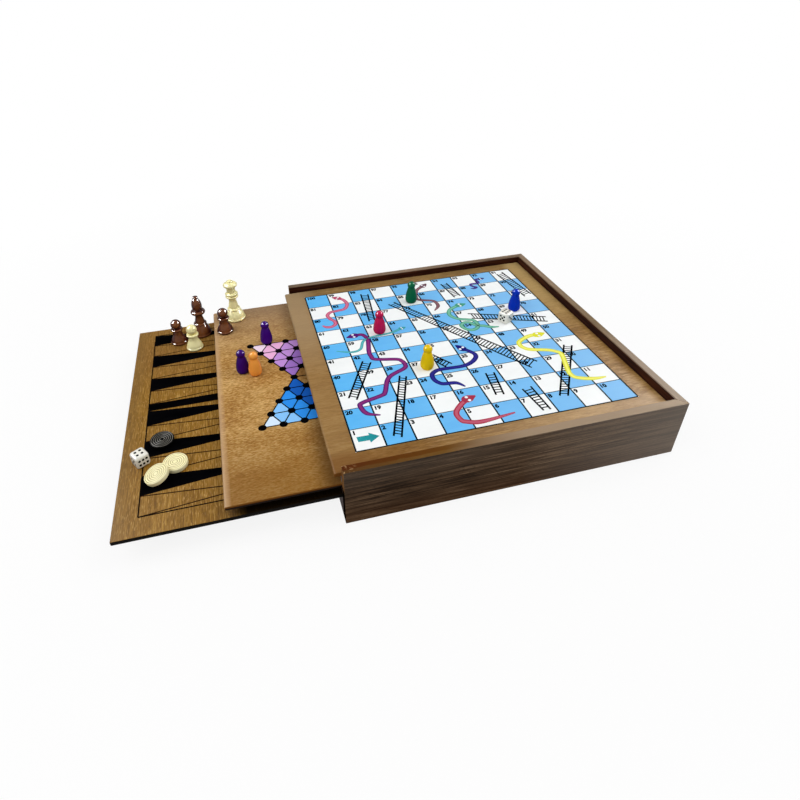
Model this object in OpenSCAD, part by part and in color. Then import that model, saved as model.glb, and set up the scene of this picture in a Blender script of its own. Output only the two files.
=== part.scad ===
// A wooden games box. Three game boards lie one above the other inside its long walls. The top
// board lies in an open recess and lifts off. The two boards under it slide out at the left end,
// and the men are kept in the tray below them. The origin is the middle of the underside.

/* [Box] */
// Outside length, from the left end to the right wall
box_l = 300; // [260:1:340]
// Outside width, from the front wall to the back wall
box_w = 304; // [290:1:340]
// Outside height
box_h = 57; // [55:1:70]
// Thickness of the walls
wall_t = 8; // [6:0.5:10]
// Thickness of the bottom panel
panel_t = 3; // [2:0.5:5]
// How far the bottom panel is let into the walls
rebate_w = 4; // [2:0.5:5]

/* [Boards] */
// Thickness of a game board
board_t = 4; // [3:0.5:5]
// Radius of the rounding on the left and right edges of the two upper boards
board_round = 1.8; // [0.5:0.1:1.9]
// Radius of the rounding on the left and right edges of the lowest board
low_board_round = 0.6; // [0.3:0.1:1.9]
// Distance from the face of one board to the face of the next
board_pitch = 12; // [11:0.5:13]
// Depth of the top board's face below the rim
rim_h = 7; // [5:0.5:9]
// How far a board that is pushed home stands out at the left end, as a grip
lip = 5.8; // [3:0.1:10]
// How far the star board is drawn out
star_out = 84.2; // [70:0.1:95]
// How far the backgammon board is drawn out
backgammon_out = 168.2; // [160:0.1:190]

/* [Runners and tray] */
// Width of the runners that carry the boards
runner_w = 5; // [3:0.5:8]
// Height of the lowest pair of runners
low_runner_h = 6; // [4:0.5:8]
// Thickness of the tray's dividers
divider_t = 4; // [2:0.5:6]

/* [Draughts and dice] */
// Diameter of a draught
draught_d = 20.6; // [18:0.1:21.5]
// Thickness of a draught
draught_t = 4.2; // [3.5:0.1:6]
// Width of the turned rings on a draught's faces
ring_w = 0.7; // [0.4:0.1:1]
// Depth of the turned rings
ring_depth = 0.35; // [0.2:0.05:0.6]
// Edge of a die
die_a = 12; // [10:0.5:14]
// Diameter of a spot on a die
spot_d = 2.2; // [1:0.1:2.5]
// Distance across a side of a die between its middle and its outer spots
spot_step = 2.1; // [2:0.1:2.4]
// Depth of a spot
spot_depth = 0.4; // [0.2:0.1:0.8]

/* [Coloured men] */
// Height of a coloured man
man_h = 25.5; // [22:0.5:28]
// Diameter of its body at the widest
man_d = 13; // [11:0.1:14]
// Diameter of its foot
man_foot_d = 9.2; // [8:0.1:11]
// Diameter of its neck
man_neck_d = 7; // [5:0.1:7.5]
// Diameter of its head
man_head_d = 8.8; // [8:0.1:10]

/* [Chess men] */
// Height of a pawn
pawn_h = 28.7; // [26:0.1:32]
// Diameter of a pawn's foot
pawn_d = 17.8; // [16:0.1:19]
// Diameter of a pawn's head
pawn_head_d = 11.2; // [9:0.1:12]
// Height of the bishop
bishop_h = 48.3; // [44:0.1:52]
// Diameter of the bishop's foot
bishop_d = 22; // [19:0.1:23]
// Diameter of the bishop's head
bishop_head_d = 11.2; // [10:0.1:12]
// Height of the queen
queen_h = 48.3; // [44:0.1:52]
// Diameter of the queen's foot
queen_d = 23; // [20:0.1:24]
// Diameter of the queen's crown
crown_d = 15.4; // [13:0.1:16]
// Diameter of a pawn's collar
collar_d = 12.8; // [12:0.1:15]
// Diameter of the queen's two collars
queen_collar_d = 14; // [13:0.1:15]
// Diameter of the bishop's collar
bishop_collar_d = 15.8; // [14:0.1:17]
// Diameter of the ring above the foot of the bishop and of the queen
base_ring_d = 14.2; // [13:0.1:16]
// Diameter of a chess man's waist
waist_d = 8; // [6:0.1:9]
// Height of a chess man's foot ring
foot_h = 3; // [2.5:0.1:4]

/* [Fits] */
// Clearance of a board to the walls and to the runners above it
slide_gap = 0.3; // [0.2:0.05:0.5]
// Clearance of a loose man to what it stands on
rest_gap = 0.25; // [0.2:0.05:0.35]

/* [Hidden] */
$fn = 64;

// Box corners and levels
x_left = -box_l / 2;
x_right = box_l / 2;
y_front = -box_w / 2;
in_w = box_w - 2 * wall_t;
top_z = box_h - rim_h;
star_z = top_z - board_pitch;
backgammon_z = star_z - board_pitch;
tray_top = backgammon_z - board_t;
low_runner_z = tray_top - low_runner_h;
between_h = board_pitch - board_t - slide_gap;
divider_h = low_runner_z - panel_t - slide_gap;

// Boards, from the left edge that they have when home
board_l = box_l - wall_t - slide_gap + lip;
board_w = in_w - 2 * slide_gap;
home_x = x_left - lip;
star_x = home_x - star_out;
backgammon_x = home_x - backgammon_out;

// Places of the men: across from their board's left edge, and back from its middle line
red_at = [85.6, 36];
green_at = [136.8, 86.9];
yellow_at = [112.8, -35.6];
blue_at = [239.7, 38.8];
upper_die_at = [220.2, 19.9];
upper_die_turn = -60;
violet_at = [26.1, 22.1];
purple_at = [54.1, 67.8];
orange_at = [37.8, 15.5];
queen_at = [24.6, 127.1];
pawn_right_at = [12.4, 101.9];
bishop_at = [69.6, 123.5];
pawn_left_at = [45, 112.5];
ivory_pawn_at = [61.7, 96.7];
flat_draught_at = [45.5, -77.2];
black_draught_at = [33.5, -46.6];
lower_die_at = [17.4, -67.6];
lower_die_turn = 32;

// The leaning draught: its slope, the way it faces, and how far it is off the other's middle
lean = 17.5;
lean_turn = 6.7;
lean_across = -10.8;
lean_along = draught_d / 2 + (draught_t + rest_gap) / tan(lean);

// Stored draughts stand in stacks along the right wall
stack = 3;
ivory_stored = 13;
black_stored = 14;
stack_gap = 0.7;
stack_clear = 0.05;

// Small turned details
edge_r = 0.8;
ring_step = 1.45;
ring_first = 1.5;
belly_z = 4.2;
belly_power = 1.7;
collar_t = 2.4;
bishop_collar_t = 4.4;
base_ring_t = 1.8;
pawn_bell_z = 13;
bishop_ring_z = 15.2;
bishop_stem_z = 24;
queen_ring_z = 13.8;
queen_stem_z = 25;

// The bishop's head: an oval about its widest place, cut off below at an angle, and its button
mitre_low = 10;
mitre_high = 9.7;
mitre_foot_a = -33;
button_r = 3;
button_h = 2.6;

// The queen's crown: its rim, the slope and button on it, and the neck down to the collars
crown_rim_t = 4;
crown_top_h = 3.7;
queen_neck_l = 7;
collar_gap = 3.2;
die_round = 0.735;
six_row = 1.5;
steps = 8;

// Points on a circular arc about centre c, from angle a0 to a1
function arc(c, r, a0, a1, n = steps) =
    [for (i = [0:n]) c + r * [cos(a0 + (a1 - a0) * i / n), sin(a0 + (a1 - a0) * i / n)]];

// Points of a full curve that leaves p upright and leans in more and more up to q
function taper(p, q, power, n = steps) =
    [for (i = [1:n]) [p[0] + (q[0] - p[0]) * pow(i / n, power), p[1] + (q[1] - p[1]) * i / n]];

// Points of a bell curve that leaves p upright and comes upright again into q
function bell(p, q, n = steps) =
    [for (i = [1:n]) [q[0] + (p[0] - q[0]) * (0.5 + 0.5 * cos(180 * i / n)),
        p[1] + (q[1] - p[1]) * i / n]];

// The space that the bottom panel fills
module panel_space() {
    translate([x_left + wall_t - rebate_w, y_front + wall_t - rebate_w, 0])
        cube([box_l - 2 * (wall_t - rebate_w), box_w - 2 * (wall_t - rebate_w), panel_t]);
}

// A long wall, square at the left end and mitred at the right, standing on the front side
module long_wall() {
    difference() {
        translate([x_left, y_front, 0]) linear_extrude(box_h)
            polygon([[0, 0], [box_l, 0], [box_l - wall_t, wall_t], [0, wall_t]]);
        panel_space();
    }
}

module front_wall() {
    color("#57483b") long_wall();
}

module back_wall() {
    color("#57483b") mirror([0, 1, 0]) long_wall();
}

// The right wall, mitred at both ends
module right_wall() {
    color("#57483b") difference() {
        translate([x_right, y_front, 0]) linear_extrude(box_h)
            polygon([[0, 0], [0, box_w], [-wall_t, box_w - wall_t], [-wall_t, wall_t]]);
        panel_space();
    }
}

// The low end wall under the open end, between the long walls
module left_wall() {
    color("#3a2c24") difference() {
        translate([x_left, y_front + wall_t, 0]) cube([wall_t, in_w, tray_top - slide_gap]);
        panel_space();
    }
}

module bottom_panel() {
    color("#a8875c") panel_space();
}

// A runner strip of height h whose top carries a board at height z
module runner(z, h) {
    color("#7a4a2c") translate([x_left, y_front + wall_t, z - h])
        cube([box_l - wall_t, runner_w, h]);
}

module front_runner_low() {
    translate([wall_t, 0, 0]) low_runner();
}

module front_runner_middle() {
    runner(star_z - board_t, between_h);
}

module front_runner_top() {
    runner(top_z - board_t, between_h);
}

module back_runner_low() {
    mirror([0, 1, 0]) front_runner_low();
}

module back_runner_middle() {
    mirror([0, 1, 0]) front_runner_middle();
}

module back_runner_top() {
    mirror([0, 1, 0]) front_runner_top();
}

// The low runner stops at the left wall
module low_runner() {
    color("#7a4a2c") translate([x_left, y_front + wall_t, low_runner_z])
        cube([box_l - 2 * wall_t, runner_w, low_runner_h]);
}

// The dividers cross in a half lap: each has a slot that takes the other's whole half
module long_divider() {
    color("#7a4a2c") difference() {
        translate([x_left + wall_t, -divider_t / 2, panel_t])
            cube([box_l - 2 * wall_t, divider_t, divider_h]);
        translate([-divider_t / 2, -divider_t, panel_t + divider_h / 2])
            cube([divider_t, 2 * divider_t, divider_h]);
    }
}

module cross_divider() {
    color("#7a4a2c") difference() {
        translate([-divider_t / 2, y_front + wall_t, panel_t]) cube([divider_t, in_w, divider_h]);
        translate([-divider_t, -divider_t / 2, panel_t - divider_h / 2])
            cube([2 * divider_t, divider_t, divider_h]);
    }
}

// A game board of the shared size, with its left edge at x, its face at height z and edges of
// radius r at the left and right
module board(x, z, r) {
    translate([x, board_w / 2, z - board_t]) rotate([90, 0, 0]) linear_extrude(board_w) {
        translate([r, 0]) square([board_l - 2 * r, board_t]);
        translate([0, r]) square([board_l, board_t - 2 * r]);
        for (across = [r, board_l - r], up = [r, board_t - r]) translate([across, up]) circle(r);
    }
}

module snakes_board() {
    color("#a9855d") board(home_x, top_z, board_round);
}

module star_board() {
    color("#a8743c") board(star_x, star_z, board_round);
}

module backgammon_board() {
    color("#b08a5a") board(backgammon_x, backgammon_z, low_board_round);
}

// Stands a man on a board whose left edge is at x and whose face is at height z
module stand(x, at, z) {
    translate([x + at[0], at[1], z + rest_gap]) children();
}

// A draught: a disc with a rounded rim and turned rings in its upper face
module draught() {
    r = draught_d / 2;
    difference() {
        rotate_extrude() polygon(concat([[0, 0]],
            arc([r - edge_r, edge_r], edge_r, -90, 0, 3),
            arc([r - edge_r, draught_t - edge_r], edge_r, 0, 90, 3), [[0, draught_t]]));
        for (ring = [ring_first:ring_step:r - edge_r - ring_w])
            translate([0, 0, draught_t - ring_depth]) difference() {
                cylinder(h = 2 * ring_depth, r = ring + ring_w);
                translate([0, 0, -ring_depth]) cylinder(h = 4 * ring_depth, r = ring);
            }
    }
}

// Stacked draughts along the right wall, from the front or the back runner inwards
module stored(count) {
    pitch = draught_d + stack_gap;
    for (i = [0:count - 1])
        translate([x_right - wall_t - stack_gap - draught_d / 2,
            y_front + wall_t + runner_w + stack_gap + draught_d / 2 + floor(i / stack) * pitch,
            panel_t + (i % stack) * draught_t])
            cylinder(h = draught_t - stack_clear, d = draught_d);
}

module stored_ivory_draughts() {
    color("#efe6bf") stored(ivory_stored);
}

module stored_black_draughts() {
    color("#26241f") mirror([0, 1, 0]) stored(black_stored);
}

// Where the spots of a side lie, counted in steps from its middle. The rows of a six are longer.
function spots(n) = let (b = n > 5 ? six_row : 1) concat(n % 2 == 1 ? [[0, 0]] : [],
    n > 1 ? [[1, b], [-1, -b]] : [], n > 3 ? [[1, -b], [-1, b]] : [], n > 5 ? [[1, 0], [-1, 0]] : []);

// Turns that carry the upper face of a die to its upper, back, left, front, right and lower side
FACES = [[0, 0, 0], [-90, 0, 0], [0, -90, 0], [90, 0, 0], [0, 90, 0], [180, 0, 0]];

// A die with a number on each face, in the order of FACES. The spots of face quarter lie across.
module die(numbers, quarter) {
    color("#f2f0ea") difference() {
        translate([0, 0, die_a / 2]) intersection() {
            cube(die_a, center = true);
            sphere(r = die_a * die_round);
        }
        for (i = [0:5], at = spots(numbers[i]))
            translate([0, 0, die_a / 2]) rotate(FACES[i]) rotate([0, 0, i == quarter ? 90 : 0])
                translate([at[0] * spot_step, at[1] * spot_step, die_a / 2 - spot_depth])
                cylinder(h = 2 * spot_depth, d = spot_d);
    }
}

// A coloured man: a pear-shaped body and a ball head, turned in one piece
module coloured_man() {
    head_r = man_head_d / 2;
    neck_r = man_neck_d / 2;
    head_z = man_h - head_r;
    neck_a = -acos(neck_r / head_r);
    neck_z = head_z + head_r * sin(neck_a);
    rotate_extrude() polygon(concat([[0, 0], [man_foot_d / 2, 0]],
        [for (a = [-60:30:-30])
            [man_foot_d / 2 + (man_d - man_foot_d) / 2 * cos(a), belly_z * (1 + sin(a))]],
        [[man_d / 2, belly_z]], taper([man_d / 2, belly_z], [neck_r, neck_z], belly_power),
        arc([0, head_z], head_r, neck_a, 90), [[0, man_h]]));
}

module red_man() {
    color("#c2184a") stand(home_x, red_at, top_z) coloured_man();
}

module green_man() {
    color("#0d5a3a") stand(home_x, green_at, top_z) coloured_man();
}

module yellow_man() {
    color("#f0d21a") stand(home_x, yellow_at, top_z) coloured_man();
}

module blue_man() {
    color("#0c2c9e") stand(home_x, blue_at, top_z) coloured_man();
}

module violet_man() {
    color("#3c1478") stand(star_x, violet_at, star_z) coloured_man();
}

module purple_man() {
    color("#3c1478") stand(star_x, purple_at, star_z) coloured_man();
}

module orange_man() {
    color("#e2571c") stand(star_x, orange_at, star_z) coloured_man();
}

module upper_die() {
    stand(home_x, upper_die_at, top_z) rotate([0, 0, upper_die_turn]) die([6, 2, 4, 5, 3, 1], -1);
}

module lower_die() {
    stand(backgammon_x, lower_die_at, backgammon_z)
        rotate([0, 0, lower_die_turn]) die([4, 1, 5, 6, 2, 3], 3);
}

// Outline of a collar of radius r and thickness t, whose upper edge is at height z
function collar(r, t, z) = arc([r - t / 2, z - t / 2], t / 2, -75, 75);

// Outline of a turned foot, a bell that ends at height bell_z, and a stem up to height z
function stem(foot_r, bell_z, z) = concat([[0, 0]],
    arc([foot_r - foot_h / 2, foot_h / 2], foot_h / 2, -90, 60, 5),
    [[foot_r - edge_r, foot_h]],
    bell([foot_r - edge_r, foot_h], [waist_d / 2 + edge_r, bell_z]),
    [[waist_d / 2, z]]);

module pawn() {
    head_r = pawn_head_d / 2;
    head_z = pawn_h - head_r;
    collar_z = head_z - head_r + edge_r;
    rotate_extrude() polygon(concat(stem(pawn_d / 2, pawn_bell_z, collar_z - collar_t),
        collar(collar_d / 2, collar_t, collar_z),
        arc([0, head_z], head_r, -60, 90), [[0, pawn_h]]));
}

module ivory_pawn() {
    color("#efe6bf") stand(backgammon_x, ivory_pawn_at, backgammon_z) pawn();
}

module brown_pawn_left() {
    color("#5b2414") stand(backgammon_x, pawn_left_at, backgammon_z) pawn();
}

module brown_pawn_right() {
    color("#5b2414") stand(star_x, pawn_right_at, star_z) pawn();
}

// The lower half of the bishop and the queen: a foot, a full base with a ring, and a stem up to z
function ringed_stem(foot_r, ring_z, stem_z, z) = concat([[0, 0]],
    arc([foot_r - foot_h / 2, foot_h / 2], foot_h / 2, -90, 60, 5),
    [[foot_r - edge_r, foot_h]],
    taper([foot_r - edge_r, foot_h], [base_ring_d / 2 - edge_r, ring_z - base_ring_t], belly_power),
    collar(base_ring_d / 2, base_ring_t, ring_z),
    bell([base_ring_d / 2 - 2 * edge_r, ring_z], [waist_d / 2, stem_z]),
    [[waist_d / 2, z]]);

// Points of an oval about height z that reaches r out, low down and high up
function oval(z, r, low, high, a0, a1, n = steps) = [for (i = [0:n])
    let (a = a0 + (a1 - a0) * i / n) [r * cos(a), z + (a < 0 ? low : high) * sin(a)]];

module brown_bishop() {
    mitre_z = bishop_h - button_h / 2 - mitre_high - edge_r;
    collar_z = mitre_z + mitre_low * sin(mitre_foot_a);
    color("#5b2414") stand(backgammon_x, bishop_at, backgammon_z)
        rotate_extrude() polygon(concat(
            ringed_stem(bishop_d / 2, bishop_ring_z, bishop_stem_z, collar_z - bishop_collar_t),
            collar(bishop_collar_d / 2, bishop_collar_t, collar_z),
            oval(mitre_z, bishop_head_d / 2, mitre_low, mitre_high, mitre_foot_a, 70, 12),
            oval(bishop_h - button_h / 2, button_r, button_h / 2, button_h / 2, -60, 85, 6),
            [[0, bishop_h]]));
}

module ivory_queen() {
    crown_r = crown_d / 2;
    crown_z = queen_h - crown_top_h;
    upper_z = crown_z - crown_rim_t - edge_r - queen_neck_l;
    lower_z = upper_z - collar_gap;
    neck_r = waist_d / 2 + edge_r;
    color("#efe6bf") stand(star_x, queen_at, star_z)
        rotate_extrude() polygon(concat(
            ringed_stem(queen_d / 2, queen_ring_z, queen_stem_z, lower_z - collar_t),
            collar(queen_collar_d / 2, collar_t, lower_z), [[neck_r, lower_z + edge_r / 2]],
            collar(queen_collar_d / 2, collar_t, upper_z),
            [[neck_r, upper_z + edge_r], [neck_r, upper_z + queen_neck_l]],
            collar(crown_r, crown_rim_t, crown_z), [[crown_r * 0.6, crown_z + edge_r * 2]],
            oval(queen_h - button_h / 2, button_r, button_h / 2, button_h / 2, -30, 85, 6),
            [[0, queen_h]]));
}

module flat_draught() {
    color("#efe6bf") stand(backgammon_x, flat_draught_at, backgammon_z) draught();
}

module black_draught() {
    color("#26241f") stand(backgammon_x, black_draught_at, backgammon_z) draught();
}

// One edge stands on the board and the other rests on the flat draught's rim
module leaning_draught() {
    color("#efe6bf") stand(backgammon_x, flat_draught_at, backgammon_z)
        rotate([0, 0, lean_turn]) translate([-lean_along, lean_across, 0])
        rotate([0, -lean, 0]) translate([draught_d / 2, 0, 0]) draught();
}

front_wall();
back_wall();
right_wall();
left_wall();
bottom_panel();
front_runner_low();
front_runner_middle();
front_runner_top();
back_runner_low();
back_runner_middle();
back_runner_top();
long_divider();
cross_divider();
stored_ivory_draughts();
stored_black_draughts();
snakes_board();
star_board();
backgammon_board();
red_man();
green_man();
yellow_man();
blue_man();
upper_die();
violet_man();
purple_man();
orange_man();
ivory_queen();
brown_pawn_right();
brown_bishop();
brown_pawn_left();
ivory_pawn();
leaning_draught();
flat_draught();
black_draught();
lower_die();
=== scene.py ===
import math

import bmesh
import bpy
from mathutils import Matrix, Vector


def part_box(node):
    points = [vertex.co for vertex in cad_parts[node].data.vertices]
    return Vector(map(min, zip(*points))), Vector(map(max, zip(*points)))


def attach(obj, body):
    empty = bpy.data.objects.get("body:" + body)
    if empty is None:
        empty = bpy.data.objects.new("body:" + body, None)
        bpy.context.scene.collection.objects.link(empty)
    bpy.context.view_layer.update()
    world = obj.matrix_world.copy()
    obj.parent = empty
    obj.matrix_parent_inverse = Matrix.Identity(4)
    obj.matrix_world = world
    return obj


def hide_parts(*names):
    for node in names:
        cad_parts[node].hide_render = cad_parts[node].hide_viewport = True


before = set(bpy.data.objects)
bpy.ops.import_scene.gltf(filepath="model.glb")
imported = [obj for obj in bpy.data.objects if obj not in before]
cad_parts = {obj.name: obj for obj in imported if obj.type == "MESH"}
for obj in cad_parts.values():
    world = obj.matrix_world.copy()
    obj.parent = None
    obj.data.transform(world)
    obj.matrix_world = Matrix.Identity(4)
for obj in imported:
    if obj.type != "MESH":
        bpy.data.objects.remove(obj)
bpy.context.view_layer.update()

# The walls of the box. They are fibreboard faced with dark walnut veneer and glued with mitres at
# the right corners. The rim is lipped with a thin paler strip, and the inside of the recess is
# stained almost black. The low end wall under the open left end stands in the boards' shadow, and
# the walls' end faces are painted near-black below the boards as that shadow.
MM = 0.001
UP = Vector((0, 0, 1))
wall_arris = 0.3 * MM


def linear(code):
    """The shader's colour for a colour written as #rrggbb."""
    parts = [int(code[i:i + 2], 16) / 255 for i in (1, 3, 5)]
    return [p / 12.92 if p <= 0.04045 else ((p + 0.055) / 1.055) ** 2.4 for p in parts] + [1]


def add(tree, kind, inputs, **settings):
    """A shader node whose inputs, by name or by number, take values or other nodes' outputs."""
    node = tree.nodes.new("ShaderNode" + kind)
    for key, value in settings.items():
        setattr(node, key, value)
    for key, value in inputs.items():
        if isinstance(value, bpy.types.NodeSocket):
            tree.links.new(value, node.inputs[key])
        else:
            node.inputs[key].default_value = value
    return node


def ramp(tree, value, stops):
    """The colour that a value stands for, between stops of (value, colour)."""
    node = add(tree, "ValToRGB", {"Fac": value})
    elements = node.color_ramp.elements
    for element, (position, colour) in zip(elements, (stops[0], stops[-1])):
        element.position, element.color = position, linear(colour)
    for position, colour in stops[1:-1]:
        elements.new(position).color = linear(colour)
    return node.outputs["Color"]


def spread(tree, value, low, high, to_low=0.0, to_high=1.0):
    """The value moved from the range low to high into another range, and held inside it."""
    return add(tree, "MapRange", {"Value": value, "From Min": low, "From Max": high,
                                  "To Min": to_low, "To Max": to_high}).outputs["Result"]


def effect(name, inputs, outputs):
    """An empty node group with named inputs and outputs, and its two end nodes."""
    group = bpy.data.node_groups.new(name, "ShaderNodeTree")
    for label, kind, value in inputs:
        socket = group.interface.new_socket(label, in_out="INPUT", socket_type="NodeSocket" + kind)
        if value is not None:
            socket.default_value = value
    for label, kind in outputs:
        group.interface.new_socket(label, in_out="OUTPUT", socket_type="NodeSocket" + kind)
    return group, group.nodes.new("NodeGroupInput"), group.nodes.new("NodeGroupOutput")


# Wood grain that runs along X: broad bands, fine lines, patches of tone, short light flecks and
# short dark pores.
wood_grain, given, made = effect(
    "wood_grain",
    [("Place", "Vector", None), ("Band width", "Float", 6.0), ("Line width", "Float", 1.2),
     ("Patch size", "Float", 60.0), ("Stretch", "Float", 14.0), ("Band share", "Float", 0.4),
     ("Line share", "Float", 0.3)],
    [("Tone", "Float"), ("Fleck", "Float"), ("Pore", "Float"), ("Height", "Float")])


def stretched_noise(tree, place, width, stretch, detail, distortion=0.0):
    """Noise in streaks of that width in millimetres, drawn out along X."""
    drawn = add(tree, "VectorMath", {0: place, 1: (1, 1, 1)}, operation="MULTIPLY")
    if isinstance(stretch, bpy.types.NodeSocket):
        share = add(tree, "Math", {0: 1.0, 1: stretch}, operation="DIVIDE").outputs[0]
        axes = add(tree, "CombineXYZ", {"X": share, "Y": 1.0, "Z": 1.0}).outputs[0]
        tree.links.new(axes, drawn.inputs[1])
    else:
        drawn.inputs[1].default_value = (1 / stretch, 1, 1)
    scale = add(tree, "Math", {0: 1 / MM, 1: width}, operation="DIVIDE").outputs[0]
    noise = add(tree, "TexNoise", {"Vector": drawn.outputs[0], "Scale": scale, "Detail": detail,
                                   "Distortion": distortion})
    return spread(tree, noise.outputs["Fac"], 0.3, 0.7)


bands = stretched_noise(wood_grain, given.outputs["Place"], given.outputs["Band width"],
                        given.outputs["Stretch"], 3.0, 0.6)
lines = stretched_noise(wood_grain, given.outputs["Place"], given.outputs["Line width"],
                        given.outputs["Stretch"], 4.0)
patches = stretched_noise(wood_grain, given.outputs["Place"], given.outputs["Patch size"], 2, 2.0)
flecks = stretched_noise(wood_grain, given.outputs["Place"], given.outputs["Line width"], 9, 1.0)
pores = stretched_noise(wood_grain, given.outputs["Place"], 0.8, 4, 2.0)
tone = patches
for streaks, label in ((bands, "Band share"), (lines, "Line share")):
    tone = add(wood_grain, "Mix", {0: given.outputs[label], 2: tone, 3: streaks},
               data_type="FLOAT").outputs[0]
wood_grain.links.new(tone, made.inputs["Tone"])
wood_grain.links.new(spread(wood_grain, flecks, 0.72, 0.9), made.inputs["Fleck"])
wood_grain.links.new(spread(wood_grain, pores, 0.6, 0.95), made.inputs["Pore"])
wood_grain.links.new(lines, made.inputs["Height"])

# Wear in patches along sharp edges, where the stain has rubbed thin, and along inner corners.
edge_wear, given, made = effect(
    "edge_wear", [("Reach", "Float", 0.6 * MM), ("Amount", "Float", 0.6)], [("Wear", "Float")])
softened = add(edge_wear, "Bevel", {"Radius": given.outputs["Reach"]}, samples=4)
flat = add(edge_wear, "NewGeometry", {})
turn = add(edge_wear, "VectorMath", {0: softened.outputs[0], 1: flat.outputs["Normal"]},
           operation="DOT_PRODUCT")
worn = spread(edge_wear, turn.outputs["Value"], 0.995, 0.9)
broken = add(edge_wear, "TexNoise", {"Scale": 180.0, "Detail": 3.0})
patchy = spread(edge_wear, broken.outputs["Fac"], 0.4, 0.6)
wear = add(edge_wear, "Math", {0: worn, 1: patchy}, operation="MULTIPLY").outputs[0]
wear = add(edge_wear, "Math", {0: wear, 1: given.outputs["Amount"]}, operation="MULTIPLY")
edge_wear.links.new(wear.outputs[0], made.inputs["Wear"])


def use(tree, group, **inputs):
    """One of the shared effects, placed in a material with its own values."""
    node = tree.nodes.new("ShaderNodeGroup")
    node.node_tree = group
    for key, value in inputs.items():
        socket = node.inputs[key.replace("_", " ")]
        if isinstance(value, bpy.types.NodeSocket):
            tree.links.new(value, socket)
        else:
            socket.default_value = value
    return node


def blend_colours(tree, share, first, second):
    """Two colours, as #rrggbb or as outputs, mixed by a share."""
    inputs = {0: share, 6: first, 7: second}
    for key in (6, 7):
        if isinstance(inputs[key], str):
            inputs[key] = linear(inputs[key])
    return add(tree, "Mix", inputs, data_type="RGBA").outputs[2]


def new_material(name, roughness, specular):
    """A material with its main shader, whose gloss is the same all over."""
    material = bpy.data.materials.new(name)
    material.use_nodes = True
    shader = material.node_tree.nodes["Principled BSDF"]
    shader.inputs["Roughness"].default_value = roughness
    shader.inputs["Specular IOR Level"].default_value = specular
    return material, material.node_tree, shader


def wood(name, tones, turn=0, band=6.0, line=1.2, patch=60.0, stretch=14.0, shares=(0.5, 0.35),
         fleck=None, fleck_share=0.5, pore=None, pore_share=0.5, worn=None, roughness=0.5,
         specular=0.3, depth=0.04, shade=None):
    """Wood or veneer with its grain along X, or along Y where turn is 90."""
    material, tree, shader = new_material(name, roughness, specular)
    place = add(tree, "TexCoord", {}).outputs["Object"]
    along = add(tree, "VectorRotate", {"Vector": place, "Angle": math.radians(turn)},
                rotation_type="Z_AXIS").outputs[0]
    grain = use(tree, wood_grain, Place=along, Band_width=band, Line_width=line,
                Patch_size=patch, Stretch=stretch, Band_share=shares[0], Line_share=shares[1])
    colour = ramp(tree, grain.outputs["Tone"], tones)
    if fleck:
        share = spread(tree, grain.outputs["Fleck"], 0, 1, 0, fleck_share)
        colour = blend_colours(tree, share, colour, fleck)
    if pore:
        share = spread(tree, grain.outputs["Pore"], 0, 1, 0, pore_share)
        colour = blend_colours(tree, share, colour, pore)
    if shade:
        colour = shade(tree, place, colour)
    if worn:
        wear = use(tree, edge_wear).outputs["Wear"]
        worn = worn(tree, place) if callable(worn) else worn
        colour = blend_colours(tree, wear, colour, worn)
    tree.links.new(colour, shader.inputs["Base Color"])
    rough = spread(tree, grain.outputs["Tone"], 0, 1, roughness + 0.08, roughness - 0.08)
    tree.links.new(rough, shader.inputs["Roughness"])
    bump = add(tree, "Bump", {"Height": grain.outputs["Height"], "Distance": depth * MM,
                              "Strength": 0.6})
    tree.links.new(bump.outputs[0], shader.inputs["Normal"])
    return material


def piece(name, bm, *materials):
    """A new object from a finished mesh, with the materials that its faces number."""
    mesh = bpy.data.meshes.new(name)
    bmesh.ops.recalc_face_normals(bm, faces=bm.faces)
    bm.to_mesh(mesh)
    bm.free()
    for material in materials:
        mesh.materials.append(material)
    made_piece = bpy.data.objects.new(name, mesh)
    bpy.context.scene.collection.objects.link(made_piece)
    return made_piece


def eased(node, radius, segments=2):
    """The mesh of a plain CAD solid with its sharp edges rounded off."""
    bm = bmesh.new()
    bm.from_mesh(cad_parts[node].data)
    bmesh.ops.remove_doubles(bm, verts=bm.verts, dist=0.001 * MM)
    bmesh.ops.dissolve_limit(bm, angle_limit=math.radians(1), verts=bm.verts, edges=bm.edges)
    sharp = [e for e in bm.edges if e.calc_face_angle(0) > math.radians(20)]
    bmesh.ops.bevel(bm, geom=sharp, offset=radius, segments=segments, profile=0.5,
                    affect="EDGES")
    return bm


def number_faces(bm, sides, tie_break=0.001):
    """Gives each face the number of the side that it looks to most, and the later of two alike."""
    bm.normal_update()
    for face in bm.faces:
        best = max(range(len(sides)), key=lambda i: face.normal.dot(sides[i][0]) + tie_break * i)
        face.material_index = sides[best][1]


def times(tree, *values):
    """The product of some values."""
    product = values[0]
    for value in values[1:]:
        product = add(tree, "Math", {0: product, 1: value}, operation="MULTIPLY").outputs[0]
    return product


def tint(tree, colour, place, axis, start, end, share, other):
    """The colour with another laid over it along an axis, from nothing at start to that share."""
    at = add(tree, "SeparateXYZ", {"Vector": place}).outputs[axis]
    return blend_colours(tree, spread(tree, at, start, end, 0, share), colour, other)


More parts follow.
